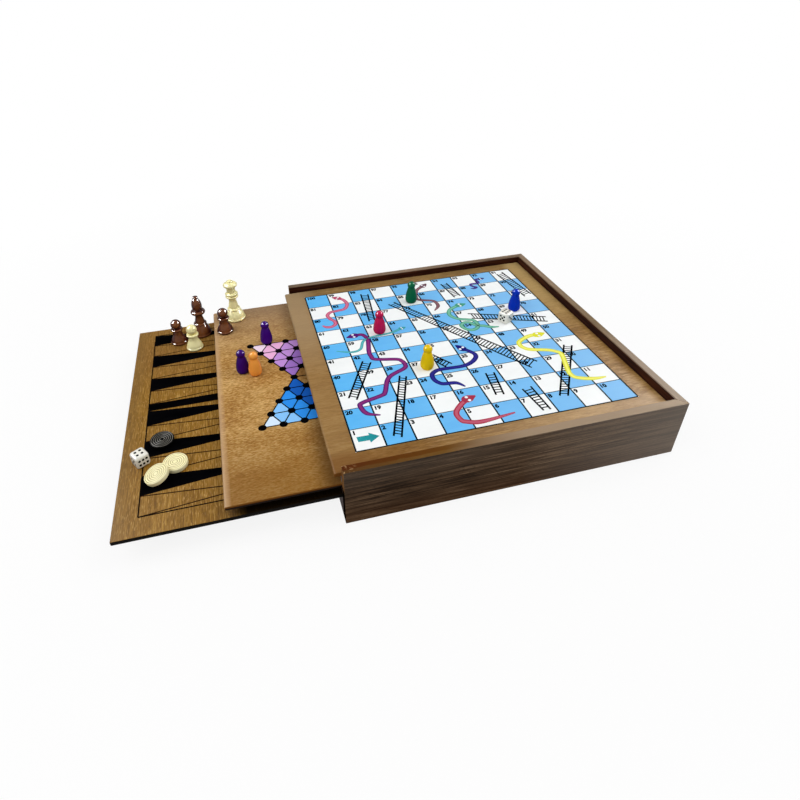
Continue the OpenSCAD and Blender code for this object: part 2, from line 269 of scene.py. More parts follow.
def rim_shade(tree, place, colour):
    """The front rim carries painted reflection: olive brown at the open end, turning grey to the
    right, and a dark red band along its inner half at the left. Its light chips at the corner are
    wear."""
    at = add(tree, "SeparateXYZ", {"Vector": place}).outputs
    # Painted reflection: the rim is olive at the open end and pales to grey to the right.
    along = ramp(tree, spread(tree, at["X"], -0.15, 0.15),
                 [(0, "#4a2a04"), (0.27, "#644104"), (0.5, "#9a846c"), (1, "#9a866e")])
    colour = blend_colours(tree, 0.9, colour, along)
    ragged = times(tree, stretched_noise(tree, place, 2.0, 6, 2.0), 0.0012)
    rough_y = add(tree, "Math", {0: ragged, 1: at["Y"]}, operation="ADD").outputs[0]
    # Painted reflection: a dark red band along the rim's inner half, fading out to the right.
    band = times(tree, spread(tree, rough_y, -0.1484, -0.1478),
                 spread(tree, at["X"], -0.075, -0.04, 1, 0), 0.92)
    red = blend_colours(tree, spread(tree, at["X"], -0.15, -0.06), "#502100", "#613900")
    colour = blend_colours(tree, band, colour, red)
    chips = times(tree, spread(tree, stretched_noise(tree, place, 2.5, 1, 2.0), 0.6, 0.75),
                  spread(tree, at["X"], -0.138, -0.147, 0, 0.8))
    return blend_colours(tree, chips, colour, "#b08a5e")


def side_shade(tree, place, colour):
    """The right rim is grey at both ends and browner along its middle."""
    at = add(tree, "SeparateXYZ", {"Vector": place}).outputs
    along = ramp(tree, spread(tree, at["Y"], -0.15, 0.15),
                 [(0.17, "#a08f7c"), (0.43, "#6e5d44"), (0.75, "#8e7c68")])
    colour = blend_colours(tree, 0.75, colour, along)
    return tint(tree, colour, place, "X", 0.1438, 0.143, 0.85, "#4c2e14")


def back_shade(tree, place, colour):
    """The back rim is darker along its inner edge."""
    return tint(tree, colour, place, "Y", 0.1456, 0.1448, 0.8, "#3c2012")


def wall_shade(tree, place, colour):
    """The veneer is greyer high up and browner low down, and paler to the right as painted light."""
    at = add(tree, "SeparateXYZ", {"Vector": place}).outputs
    high = times(tree, spread(tree, at["Z"], 0.03, 0.05),
                 spread(tree, at["X"], -0.1, 0.1, 0.4, 0.1))
    colour = blend_colours(tree, high, colour, "#62584e")
    colour = tint(tree, colour, place, "Z", 0.022, 0.002, 0.3, "#683e1c")
    # Painted light: the veneer pales to the right.
    return tint(tree, colour, place, "X", 0.0, 0.15, 0.55, "#aca298")


def end_shade(tree, place, colour):
    """The walls' end faces are painted near-black as the boards' shadow, and show worn fibreboard
    above the slot of the lower boards.
    """
    return tint(tree, colour, place, "Z", 0.034, 0.037, 0.9, "#86603a")


def wall_arris_colour(tree, place):
    """The arrises are rubbed light at the upper left, and stay dark to the right and low down."""
    at = add(tree, "SeparateXYZ", {"Vector": place}).outputs
    light = times(tree, spread(tree, at["X"], -0.09, -0.05, 1, 0),
                  spread(tree, at["Z"], 0.03, 0.036))
    colour = blend_colours(tree, light, "#241910", "#a8845c")
    rim = blend_colours(tree, spread(tree, at["X"], -0.06, 0), "#8e6e44", "#ac9880")
    return blend_colours(tree, spread(tree, at["Z"], 0.0555, 0.0562), colour, rim)


walnut_tones = [(0.28, "#2e2016"), (0.44, "#56412f"), (0.57, "#6c543f"), (0.76, "#967a5e")]
rim_tones = [(0.25, "#7c5e3c"), (0.5, "#967650"), (0.75, "#ac8c66")]
back_tones = [(0.25, "#625040"), (0.5, "#7a6652"), (0.75, "#907a66")]
side_tones = [(0.25, "#5a3e22"), (0.5, "#765836"), (0.75, "#8c6c48")]
lining_tones = [(0.3, "#1c0906"), (0.5, "#2e120a"), (0.75, "#482410")]
walnut_along = wood("walnut_along", walnut_tones, 0, 3.0, 0.9, 60, 40, (0.55, 0.45),
                    pore="#181008", pore_share=0.5, worn=wall_arris_colour, specular=0.02,
                    shade=wall_shade)
walnut_across = wood("walnut_across", walnut_tones, 90, 3.0, 0.9, 60, 40, (0.55, 0.45),
                     pore="#181008", pore_share=0.5, worn="#3c2c1e", specular=0.02)
rim_front = wood("rim_front", rim_tones, 0, 4, 1.0, 40, 16, specular=0.01, shade=rim_shade)
rim_back = wood("rim_back", back_tones, 0, 4, 1.0, 40, 16, specular=0.01, shade=back_shade)
rim_across = wood("rim_across", side_tones, 90, 4, 1.0, 40, 16, specular=0.01, shade=side_shade)
lining_along = wood("lining_along", lining_tones, 0, 4, 1.2, 80, 24, specular=0.02)
lining_across = wood("lining_across", lining_tones, 90, 4, 1.2, 80, 24, specular=0.02)
# The end faces' near-black is painted shadow of the boards.
wall_end = wood("wall_end", [(0.3, "#050302"), (0.7, "#0c0705")], 0, 2, 0.8, 20, 1,
                worn=wall_arris_colour, specular=0.0, shade=end_shade)
walls = {
    "front_wall": (Vector((0, 1, 0)), walnut_along, rim_front, lining_along),
    "back_wall": (Vector((0, -1, 0)), walnut_along, rim_back, lining_along),
    "right_wall": (Vector((-1, 0, 0)), walnut_across, rim_across, lining_across),
    "left_wall": (Vector((1, 0, 0)), lining_across, rim_across, lining_across),
}
for node, (inwards, veneer, rim, lining) in walls.items():
    bm = eased(node, wall_arris)
    across = inwards.cross(UP)
    number_faces(bm, [(-inwards, 0), (-UP, 0), (UP, 1), (inwards, 2), (across, 3), (-across, 3)])
    wall = piece(node + "_veneered", bm, veneer, rim, lining, wall_end)
    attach(wall, "box")
    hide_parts(node)

# The bottom panel, the runners and the tray's dividers. The panel is thin plywood let into the
# walls. The runners and dividers are stained strips, glued in, that lock in a half lap.
bottom_tones = [(0.3, "#9a7448"), (0.6, "#b8925f"), (0.8, "#cca873")]
strip_tones = [(0.3, "#241008"), (0.55, "#3a1c0e"), (0.8, "#542e18")]
strips_along = wood("strips_along", strip_tones, 0, 3, 0.9, 50, 18, worn="#6a4428")
strips_across = wood("strips_across", strip_tones, 90, 3, 0.9, 50, 18, worn="#6a4428")
plywood = wood("plywood", bottom_tones, 90, 9, 1.6, 70, 12, roughness=0.6)
fitted = {"bottom_panel": (plywood, "plywood"), "cross_divider": (strips_across, "stained_strip")}
for side in ("front", "back"):
    for level in ("low", "middle", "top"):
        fitted[f"{side}_runner_{level}"] = (strips_along, "stained_strip")
fitted["long_divider"] = (strips_along, "stained_strip")
for node, (finish, slot) in fitted.items():
    strip = piece(node + "_eased", eased(node, 0.25 * MM), finish)
    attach(strip, "box")
    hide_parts(node)

# The top board, which lies in the recess. It is birch plywood, stained tan and rounded at its
# edges, and its face is screen printed.
board_round = 1.8 * MM
board_arris = 0.4 * MM
round_steps = 6
birch_tones = [(0.15, "#75532c"), (0.4, "#8f6a38"), (0.6, "#a17c48"), (0.85, "#b8945c")]


def margin_shade(tree, place, colour):
    """The margins turn darker and greyer to the back as painted shade and dark reflection of the
    back wall, paler to the front right and browner at the near left corner."""
    at = add(tree, "SeparateXYZ", {"Vector": place}).outputs
    left, right = spread(tree, at["X"], -0.12, -0.14), spread(tree, at["X"], 0.115, 0.125)
    back, front = spread(tree, at["Y"], 0.1, 0.14), spread(tree, at["Y"], -0.12, -0.13)
    further = spread(tree, at["Y"], -0.02, 0.06, 0, 0.6)
    paler = times(tree, front, spread(tree, at["X"], -0.08, 0.02, 0, 0.4))
    browner = times(tree, front, spread(tree, at["X"], -0.06, -0.13, 0, 0.7))
    # The back tint is painted shade and reflection of the back wall.
    for share, other in ((times(tree, left, 0.6), "#967448"), (times(tree, back, 0.5), "#7a6542"),
                         (times(tree, left, further), "#a68f6f"),
                         (times(tree, right, further), "#b69b66"),
                         (paler, "#ba9a72"), (browner, "#74491e")):
        colour = blend_colours(tree, share, colour, other)
    return colour


def edge_shade(tree, place, colour):
    """A cut edge is painted black low down as shadow, and is a warm brown on the star board's upper
    arris and above.
    """
    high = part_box("star_board")[1].z
    return tint(tree, colour, place, "Z", high - 2.4 * MM, high - 1.2 * MM, 0.9, "#8a5620")


birch = wood("birch", birch_tones, 0, 4, 0.9, 24, 8, (0.4, 0.45), fleck="#c8a674",
             fleck_share=0.25, pore="#6a4824", pore_share=0.45, roughness=0.42, specular=0.01,
             shade=margin_shade)
# The near-black of the cut edges is painted shadow under the boards.
birch_edge = wood("birch_edge", [(0.3, "#080302"), (0.6, "#140804"), (0.8, "#2a1206")], 0, 3, 0.7,
                  30, 10, specular=0.03, shade=edge_shade)


def plank(node, radius, arris):
    """The mesh of a board whose left and right edges are rounded and whose ends are eased."""
    lo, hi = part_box(node)
    bm = bmesh.new()
    rows = []
    ease = [(arris * (1 - math.cos(math.radians(a))), arris * (1 - math.sin(math.radians(a))))
            for a in (0, 30, 60, 90)]
    left, right = lo.x + radius, hi.x - radius
    low, high = lo.z + radius, hi.z - radius
    for y, inset in ([(lo.y + in_y, inset) for in_y, inset in ease]
                     + [(hi.y - in_y, inset) for in_y, inset in ease[::-1]]):
        profile = []
        for x, z, start in ((right, low, -90), (right, high, 0), (left, high, 90), (left, low, 180)):
            for k in range(round_steps + 1):
                a = math.radians(start + 90 * k / round_steps)
                profile.append(bm.verts.new((x + (radius - inset) * math.cos(a), y,
                                             z + (radius - inset) * math.sin(a))))
        rows.append(profile)
    bm.faces.new(rows[0])
    bm.faces.new(rows[-1][::-1])
    for a, b in zip(rows, rows[1:]):
        for k in range(len(a)):
            n = (k + 1) % len(a)
            bm.faces.new((a[k], b[k], b[n], a[n]))
    return bm


def smooth(made_piece, angle=35):
    """Shades a rounded piece smoothly and keeps its sharp turns sharp."""
    made_piece.data.shade_smooth()
    made_piece.data.set_sharp_from_angle(angle=math.radians(angle))


def board(node, radius, face, edge):
    """A game board with its own finish on the cut front and back edges."""
    bm = plank(node, radius, board_arris)
    number_faces(bm, [(Vector((0, 1, 0)), 1), (Vector((0, -1, 0)), 1)]
                 + [(Vector(side), 0) for side in ((0, 0, 1), (0, 0, -1), (1, 0, 0), (-1, 0, 0))])
    made_board = piece(node + "_plank", bm, face, edge)
    smooth(made_board, 32)
    return made_board


top_plank = board("snakes_board", board_round, birch, birch_edge)
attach(top_plank, "top_board")
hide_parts("snakes_board")

# The climbing game that is printed on the top board: a white sheet of a hundred squares, every
# second one blue, with dark rules and a small number in each square's far left corner.
top_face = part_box("snakes_board")[1].z
cell = 25.51 * MM
corner = Vector((-134.06 * MM, -125.82 * MM, top_face))
cells = 10
sheet_rim = 0.5 * MM
column_w, row_w, rim_rule_w = 1.4 * MM, 0.8 * MM, 1.2 * MM
# How high each film of ink stands over the board's face, and how far the sheet goes into it.
sheet_t, square_t, row_t, column_t, number_t = [t * MM for t in (0.03, 0.05, 0.065, 0.07, 0.075)]
sheet_sunk = 0.02 * MM


def ink(name, low, high, roughness=0.42, specular=0.01, shade=None):
    """A film of printing ink, almost even, over the grain of the board."""
    material, tree, shader = new_material(name, roughness, specular)
    place = add(tree, "TexCoord", {}).outputs["Object"]
    cloudy = stretched_noise(tree, place, 9.0, 3, 3.0)
    fine = stretched_noise(tree, place, 0.5, 4, 2.0)
    both = add(tree, "Mix", {0: 0.3, 2: cloudy, 3: fine}, data_type="FLOAT").outputs[0]
    colour = ramp(tree, both, [(0.1, low), (0.9, high)])
    if shade:
        colour = shade(tree, place, colour)
    tree.links.new(colour, shader.inputs["Base Color"])
    bump = add(tree, "Bump", {"Height": fine, "Distance": 0.01 * MM, "Strength": 0.4})
    tree.links.new(bump.outputs[0], shader.inputs["Normal"])
    return material


def film(bm, outline, low, high, number=0):
    """A thin plate of ink between two heights, with that outline."""
    under = [bm.verts.new((p[0], p[1], low)) for p in outline]
    over = [bm.verts.new((p[0], p[1], high)) for p in outline]
    faces = [bm.faces.new(over), bm.faces.new(under[::-1])]
    for i in range(len(outline)):
        j = (i + 1) % len(outline)
        faces.append(bm.faces.new((under[i], under[j], over[j], over[i])))
    for face in faces:
        face.material_index = number


def rectangle(x0, y0, x1, y1):
    return [(x0, y0), (x1, y0), (x1, y1), (x0, y1)]


def rule(bm, start, end, width, low, high, number=0):
    """A straight printed line from start to end."""
    start, end = Vector(start[:2]), Vector(end[:2])
    along = (end - start).normalized()
    side = Vector((-along.y, along.x)) * width / 2
    film(bm, [start - side, end - side, end + side, start + side], low, high, number)


def on_cells(i, j):
    """The place of a point that is counted in squares from the near left corner."""
    return (corner.x + i * cell, corner.y + j * cell)


def faded(tree, place, colour):
    """The blue is paler towards the right."""
    at = add(tree, "SeparateXYZ", {"Vector": place}).outputs
    return blend_colours(tree, spread(tree, at["X"], -0.13, 0.13, 0.05, 0.65), colour, "#98c4ec")


white_ink = ink("white_ink", "#f4f7f7", "#fafcfc")
blue_ink = ink("blue_ink", "#55b4f4", "#62bef9", shade=faded)
rule_ink = ink("rule_ink", "#0a1a20", "#12262e", specular=0.0)
number_ink = ink("number_ink", "#04060c", "#0a0e16", specular=0.0)

bm = bmesh.new()
film(bm, rectangle(corner.x - sheet_rim, corner.y - sheet_rim, corner.x + cells * cell + sheet_rim,
                   corner.y + cells * cell + sheet_rim), top_face - sheet_sunk, top_face + sheet_t)
sheet = piece("white_sheet", bm, white_ink)
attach(sheet, "top_board")

bm = bmesh.new()
for i in range(cells):
    for j in range(cells):
        if (i + j) % 2:
            film(bm, [on_cells(i, j), on_cells(i + 1, j), on_cells(i + 1, j + 1),
                      on_cells(i, j + 1)], top_face, top_face + square_t)
squares = piece("blue_squares", bm, blue_ink)
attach(squares, "top_board")

bm = bmesh.new()
for k in range(cells + 1):
    width = rim_rule_w if k in (0, cells) else row_w
    rule(bm, on_cells(k, 0), on_cells(k, cells), column_w, top_face, top_face + column_t)
    rule(bm, on_cells(0, k), on_cells(cells, k), width, top_face, top_face + row_t)
rules = piece("square_rules", bm, rule_ink)
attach(rules, "top_board")

digit_h = 4.8 * MM
digit_size = digit_h * 1.35
digit_step = 3.2 * MM
digit_fat = 0.34 * MM
digit_t = 0.008 * MM
# How far from its square's left rule a number starts and how high it reaches, in squares, and the
# numbers that stand further in, beside a ladder.
number_in, number_up = 0.06, 0.94
numbers_moved = {18: 0.25, 23: 0.52, 39: 0.33}


def digit_mesh(digit):
    """One figure as a flat mesh, from the plain built-in lettering."""
    curve = bpy.data.curves.new("digit", "FONT")
    curve.body, curve.resolution_u = digit, 3
    curve.size, curve.extrude, curve.offset = digit_size, digit_t, digit_fat
    holder = bpy.data.objects.new("digit", curve)
    bpy.context.scene.collection.objects.link(holder)
    graph = bpy.context.evaluated_depsgraph_get()
    mesh = bpy.data.meshes.new_from_object(holder.evaluated_get(graph))
    bpy.data.objects.remove(holder)
    return mesh


digits = {str(d): digit_mesh(str(d)) for d in range(10)}
bm = bmesh.new()
for j in range(cells):
    for i in range(cells):
        count = j * cells + (i if j % 2 == 0 else cells - 1 - i) + 1
        x, y = on_cells(i + numbers_moved.get(count, number_in), j + number_up)
        for k, digit in enumerate(str(count)):
            part = digits[digit].copy()
            part.transform(Matrix.Translation((x + k * digit_step, y - digit_h,
                                               top_face + number_t)))
            bm.from_mesh(part)
numbers = piece("square_numbers", bm, number_ink)
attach(numbers, "top_board")

# The arrow that shows the start, and the ladders. Both are printed over the squares. Each ladder is
# two thin rails with close rungs between them.
arrow_t, rung_t, rail_t = 0.08 * MM, 0.085 * MM, 0.09 * MM
arrow_ink = ink("arrow_ink", "#1c8c94", "#34a0a8")
ladder_ink = ink("ladder_ink", "#06080a", "#0c0e12", specular=0.0)
bm = bmesh.new()
film(bm, [on_cells(*p) for p in [(0.17, 0.4), (0.54, 0.39), (0.55, 0.28), (0.89, 0.5),
                                 (0.575, 0.73), (0.57, 0.62), (0.155, 0.63)]],
     top_face, top_face + arrow_t)
arrow = piece("start_arrow", bm, arrow_ink)
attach(arrow, "top_board")

rail_w = 1.7 * MM
rung_w = 1.2 * MM
rung_step = 3.4 * MM
# The lower and the upper end of both rails, in squares.
ladders = [
    ((1.33, 0.37), (1.56, 0.25), (2.44, 3.33), (2.66, 3.23)),
    ((0.35, 2.58), (0.6, 2.43), (1.35, 4.57), (1.63, 4.42)),
    ((2.31, 7.26), (2.55, 7.27), (2.51, 9.6), (2.82, 9.51)),
    ((7.3, 2.48), (7.68, 2.78), (3.47, 8.37), (3.75, 8.48)),
    ((5.36, 1.38), (5.63, 1.34), (5.52, 2.62), (5.83, 2.59)),
    ((6.54, 0.21), (6.79, 0.2), (6.38, 1.43), (6.73, 1.49)),
    ((7.45, 0.75), (7.72, 0.67), (9.21, 3.48), (9.49, 3.37)),
    ((9.57, 5.54), (9.47, 5.2), (6.52, 6.68), (6.54, 6.29)),
    ((6.51, 8.15), (6.8, 8.21), (6.34, 9.47), (6.62, 9.49)),
    ((9.55, 7.36), (9.91, 7.49), (9.26, 9.66), (9.58, 9.78)),
    ((4.3, 3.3), (4.55, 3.5), (3.85, 4.1), (4.05, 4.25)),
]
bm = bmesh.new()
for ends in ladders:
    left_low, right_low, left_high, right_high = [Vector(on_cells(*p)) for p in ends]
    rule(bm, left_low, left_high, rail_w, top_face, top_face + rail_t)
    rule(bm, right_low, right_high, rail_w, top_face, top_face + rail_t)
    rungs = round((left_high - left_low).length / rung_step)
    for k in range(1, rungs):
        share = k / rungs
        rule(bm, left_low.lerp(left_high, share), right_low.lerp(right_high, share), rung_w,
             top_face, top_face + rung_t)
ladder_print = piece("ladders", bm, ladder_ink)
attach(ladder_print, "top_board")

# The snakes. Each is printed as a dark band with a lighter one along its middle, and has a round
# head with a pointed snout and two white eyes.
eye_ink = ink("eye_ink", "#ffffff", "#f4f4ff")
snake_t, stripe_t, head_t, eye_t = 0.095 * MM, 0.105 * MM, 0.11 * MM, 0.115 * MM
# The rest are shares of a snake's width: its light stripe, its eyes and its head, which points the
# way of the first number of each pair. The tail narrows over its last points to tail_share.
stripe_share, tail_share, tail_points = 0.5, 0.3, 12
eye_apart, eye_r = 0.45, 0.29
head_outline = [(-1.1, 0.5), (-0.45, 0.88), (0.4, 0.8), (1.6, 0.14), (1.6, -0.14), (0.4, -0.8),
                (-0.45, -0.88), (-1.1, -0.5)]


def smooth_line(points, steps=8):
    """Points of a smooth curve through the given points."""
    line = []
    ends = [points[0], *points, points[-1]]
    for k in range(1, len(ends) - 2):
        a, b, c, d = [Vector(p) for p in ends[k - 1:k + 3]]
        for s in range(steps):
            t = s / steps
            line.append(0.5 * (2 * b + (c - a) * t + (2 * a - 5 * b + 4 * c - d) * t * t
                               + (3 * b - a - 3 * c + d) * t ** 3))
    return line + [Vector(points[-1])]


def ribbon(bm, line, widths, low, high, number=0):
    """A printed band along a line, with a width at each point."""
    rows = []
    for k, point in enumerate(line):
        along = (line[min(k + 1, len(line) - 1)] - line[max(k - 1, 0)]).normalized()
        side = Vector((-along.y, along.x)) * widths[k] / 2
        rows.append([bm.verts.new((*(point + s * side), z)) for s, z in
                     ((-1, low), (-1, high), (1, high), (1, low))])
    faces = [bm.faces.new(rows[0]), bm.faces.new(rows[-1][::-1])]
    for a, b in zip(rows, rows[1:]):
        for m in range(4):
            n = (m + 1) % 4
            faces.append(bm.faces.new((a[m], b[m], b[n], a[n])))
    for face in faces:
        face.material_index = number


def disc(centre, radius, sides=12):
    return [(centre[0] + radius * math.cos(math.tau * k / sides),
             centre[1] + radius * math.sin(math.tau * k / sides)) for k in range(sides)]


# Name, width in millimetres, dark and light ink, the snout, and points from the head to the tail,
# both in squares.
snakes = [
    ("rose_snake", 4.2, "#b8486a", "#d47492", (1.22, 9.66), [
        (1.4, 9.54), (1.59, 9.38), (1.69, 9.16), (1.71, 8.88), (1.53, 8.55), (1.16, 8.46),
        (0.86, 8.42), (0.69, 8.2), (0.74, 7.92), (0.89, 7.66), (0.88, 7.42), (0.69, 7.27),
        (0.48, 7.3), (0.33, 7.46)]),
    ("purple_snake", 4.8, "#561c74", "#8a2e72", (1.18, 6.31), [
        (1.4, 6.35), (1.72, 6.36), (1.86, 6.18), (1.9, 5.9), (1.74, 5.13), (1.74, 4.79),
        (1.84, 4.56), (2.61, 4.34), (2.78, 4.19), (2.84, 3.94), (2.73, 3.71), (2.03, 3.33),
        (1.67, 2.57), (1.49, 2.42), (0.76, 2.22), (0.64, 2.04), (0.77, 1.64), (1.19, 1.45)]),
    ("teal_snake", 3.0, "#3c9ca4", "#5cb8bc", (3.66, 6.4), [
        (3.46, 6.36), (2.93, 6.16), (2.06, 6.06), (1.69, 5.86), (1.46, 5.37), (1.08, 5.26),
        (0.52, 5.48)]),
    ("navy_snake", 4.8, "#1a1870", "#2c2a8a", (5.19, 4.5), [
        (5.28, 4.35), (5.62, 3.84), (5.42, 3.48), (4.92, 3.26), (4.03, 3.28), (3.76, 3.21),
        (3.6, 3.06), (3.57, 2.79), (3.66, 2.58), (3.82, 2.45), (4.27, 2.38), (4.51, 2.1)]),
    ("red_snake", 5.2, "#a8324a", "#c25a70", (4.55, 1.51), [
        (4.33, 1.45), (3.98, 1.22), (3.67, 0.87), (3.69, 0.51), (3.83, 0.38), (4.34, 0.25),
        (5.57, 0.37)]),
    ("yellow_snake", 5.0, "#dede34", "#f4f270", (8.87, 4.44), [
        (8.59, 4.41), (8.19, 4.41), (7.67, 4.17), (7.56, 3.95), (7.61, 3.73), (7.82, 3.54),
        (8.44, 3.33), (8.68, 3.16), (8.79, 2.93), (8.5, 2.0), (8.46, 1.71), (8.57, 1.5),
        (9.07, 1.3), (9.6, 1.27)]),
    ("green_snake", 4.6, "#4a9c80", "#78bca0", (6.78, 7.49), [
        (6.46, 7.45), (6.09, 7.31), (5.85, 7.13), (5.74, 6.84), (5.81, 6.59), (6.02, 6.37),
        (6.31, 6.25), (6.54, 6.11), (6.59, 5.83), (6.49, 5.57), (6.24, 5.45), (6.0, 5.56),
        (5.9, 5.87), (6.1, 6.05), (6.32, 6.0), (6.49, 5.74), (6.79, 5.6), (7.04, 5.44),
        (7.36, 5.38)]),
    ("plum_snake", 4.2, "#64404c", "#8a6068", (5.68, 9.69), [
        (5.49, 9.55), (5.07, 9.22), (4.84, 8.61), (4.93, 8.36), (5.45, 8.13), (5.55, 7.88),
        (5.51, 7.6), (5.25, 7.31)]),
    ("violet_snake", 3.2, "#2c2070", "#503a90", (8.56, 9.47), [
        (8.32, 9.45), (8.08, 9.43), (8.07, 9.12), (7.68, 9.08), (7.67, 8.88), (7.81, 8.74),
        (7.65, 8.66), (7.52, 8.73)]),
]
for name, width, dark, light, snout, points in snakes:
    width *= MM
    line = smooth_line([on_cells(*p) for p in points])
    count = len(line)
    body = [min(1, tail_share + (count - 1 - k) / tail_points) for k in range(count)]
    bm = bmesh.new()
    ribbon(bm, line, [width * b for b in body], top_face, top_face + snake_t, 0)
    ribbon(bm, line, [stripe_share * width * b for b in body], top_face, top_face + stripe_t, 1)
    ahead = (Vector(on_cells(*snout)) - line[0]).normalized()
    side = Vector((-ahead.y, ahead.x))
    film(bm, [line[0] + (a * ahead + b * side) * width for a, b in head_outline], top_face,
         top_face + head_t, 0)
    for turn in (-1, 1):
        film(bm, disc(line[0] + eye_apart * turn * side * width, eye_r * width), top_face,
             top_face + eye_t, 2)
    snake = piece(name, bm, ink(name + "_edge", dark, dark), ink(name + "_back", light, light),
                  eye_ink)
    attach(snake, "top_board")

# The star board under it, drawn out to the left. It is the same birch, stained more golden, and
# carries the six-pointed board for a marble game.
star_tones = [(0.24, "#8c5e2a"), (0.43, "#a87a3e"), (0.57, "#be9454"), (0.76, "#d8b074")]


def star_shade(tree, place, colour):
    """The stain is browner at the near end. It is greyer at the far end as painted reflection,
    darker under the top board's edge as painted shadow, and paler along the left edge as a painted
    highlight on the rounded edge."""
    at = add(tree, "SeparateXYZ", {"Vector": place}).outputs
    # Painted reflection: greyer towards the far end.
    colour = tint(tree, colour, place, "Y", 0.05, 0.14, 0.75, "#927a62")
    colour = tint(tree, colour, place, "Y", -0.05, -0.13, 0.7, "#7c500e")
    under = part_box("snakes_board")[0].x
    # Painted shadow under the top board's left edge.
    top_board_shadow = times(tree, spread(tree, at["X"], under - 16 * MM, under, 0, 0.55),
                   spread(tree, at["Y"], 0, 0.1, 1, 0.3))
    colour = blend_colours(tree, top_board_shadow, colour, "#5c3e1c")
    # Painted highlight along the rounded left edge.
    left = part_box("star_board")[0].x
    return tint(tree, colour, place, "X", left + 6 * MM, left + 2 * MM, 0.7, "#c4a078")


golden_birch = wood("golden_birch", star_tones, 0, 2.0, 0.7, 22, 4, (0.4, 0.55), fleck="#e0bc80",
                    fleck_share=0.2, pore="#70481c", pore_share=0.4, roughness=0.4, specular=0.015,
                    shade=star_shade)
star_plank = board("star_board", board_round, golden_birch, birch_edge)
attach(star_plank, "middle_board")
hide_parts("star_board")

star_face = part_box("star_board")[1].z
star_middle = Vector((-92.1 * MM, -0.3 * MM))
hole_step = 18.6 * MM
row_step = hole_step * math.sqrt(3) / 2
hole_d = 7.4 * MM
star_rule_w = 1.2 * MM
tip_sunk, tip_t, star_rule_t, hole_t = 0.01 * MM, 0.03 * MM, 0.06 * MM, 0.08 * MM
# How many steps each tip reaches out past the middle six-sided field.
reach = 4


def star_point(i, j):
    """The place of a point that is counted in steps along two of the star's rules."""
    return (star_middle.x + (i + j / 2) * hole_step, star_middle.y + j * row_step)


def in_star(i, j):
    """Whether the point lies in one of the two large triangles that make the star."""
    first = i >= -reach and j >= -reach and i + j <= reach
    second = i <= reach and j <= reach and i + j >= -reach
    return first or second


def tip_of(i, j):
    """The tip that a point in thirds of a step lies in, and how deep it lies there."""
    out = [("far", j), ("near", -j), ("right", i), ("left", -i), ("far_right", i + j),
           ("near_left", -i - j)]
    name, value = max(out, key=lambda pair: pair[1])
    return (name, 2 * reach - value) if value > reach else (None, 0)


# Ink of a tip from its point to its base.
tips = {
    "left": ["#f4dcec", "#eeb4dc", "#c493dc", "#a074c8"],
    "near_left": ["#d8ecff", "#88c6fc", "#2e90ee", "#165cbc"],
    "near": ["#dcf4d4", "#a0dc94", "#54b45c", "#1e8236"],
    "right": ["#fcf6c8", "#f8e878", "#f0d034", "#dcb010"],
    "far_right": ["#fce0c4", "#f8b878", "#f08c38", "#d8661a"],
    "far": ["#fcd0cc", "#f49088", "#e0483c", "#b41e1e"],
}
star_inks, ink_numbers = [], {}
for tip, shades in tips.items():
    for depth, shade in enumerate(shades):
        ink_numbers[tip, depth] = len(star_inks)
        star_inks.append(ink(f"{tip}_ink_{depth}", shade, shade))
bm = bmesh.new()
for i in range(-2 * reach, 2 * reach + 1):
    for j in range(-2 * reach, 2 * reach + 1):
        for corners in ([(i, j), (i + 1, j), (i, j + 1)], [(i + 1, j), (i + 1, j + 1), (i, j + 1)]):
            if all(in_star(*c) for c in corners):
                tip, depth = tip_of(sum(c[0] for c in corners) / 3, sum(c[1] for c in corners) / 3)
                if tip:
                    film(bm, [star_point(*c) for c in corners], star_face - tip_sunk,
                         star_face + tip_t, ink_numbers[tip, min(int(depth), reach - 1)])
star_tips = piece("star_tips", bm, *star_inks)
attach(star_tips, "middle_board")

dark_ink = ink("dark_ink", "#020203", "#08080a", 0.5, 0.0)
bm = bmesh.new()
for i in range(-2 * reach, 2 * reach + 1):
    for j in range(-2 * reach, 2 * reach + 1):
        if in_star(i, j):
            for a, b in ((1, 0), (0, 1), (-1, 1)):
                if in_star(i + a, j + b):
                    rule(bm, star_point(i, j), star_point(i + a, j + b), star_rule_w,
                         star_face, star_face + star_rule_t)
            film(bm, disc(star_point(i, j), hole_d / 2, 24), star_face, star_face + hole_t)
star_rules = piece("star_rules", bm, dark_ink)
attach(star_rules, "middle_board")

# The lowest board, drawn out furthest. It is oak veneer with its grain from front to back, and
# its print has two rows of twelve long points, half of them filled, and a bar across the middle.
low_round = 0.6 * MM
oak_tones = [(0.15, "#68461a"), (0.4, "#825c1e"), (0.6, "#926a28"), (0.85, "#ae853c")]


def oak_shade(tree, place, colour):
    """The veneer is duller at the far end and darker along the left edge, and painted black at the
    front where it runs in under the star board, as that board's shadow."""
    at = add(tree, "SeparateXYZ", {"Vector": place}).outputs
    lo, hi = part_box("backgammon_board")
    colour = tint(tree, colour, place, "Y", 0.02, 0.08, 0.3, "#866038")
    colour = tint(tree, colour, place, "X", lo.x + 14 * MM, lo.x + 1 * MM, 0.5, "#7c5e34")
    # Painted shadow of the star board along the front of the lowest board.
    stained = times(tree, spread(tree, at["Y"], lo.y + 9 * MM, lo.y + 7 * MM),
                    spread(tree, at["X"], lo.x + 80 * MM, lo.x + 100 * MM), 0.97)
    return blend_colours(tree, stained, colour, "#060403")


oak = wood("oak", oak_tones, 90, 1.6, 0.7, 60, 30, (0.3, 0.6), fleck="#d0a860", fleck_share=0.45,
           pore="#5a3e1c", pore_share=0.4, roughness=0.45, specular=0.01, depth=0.06,
           shade=oak_shade)
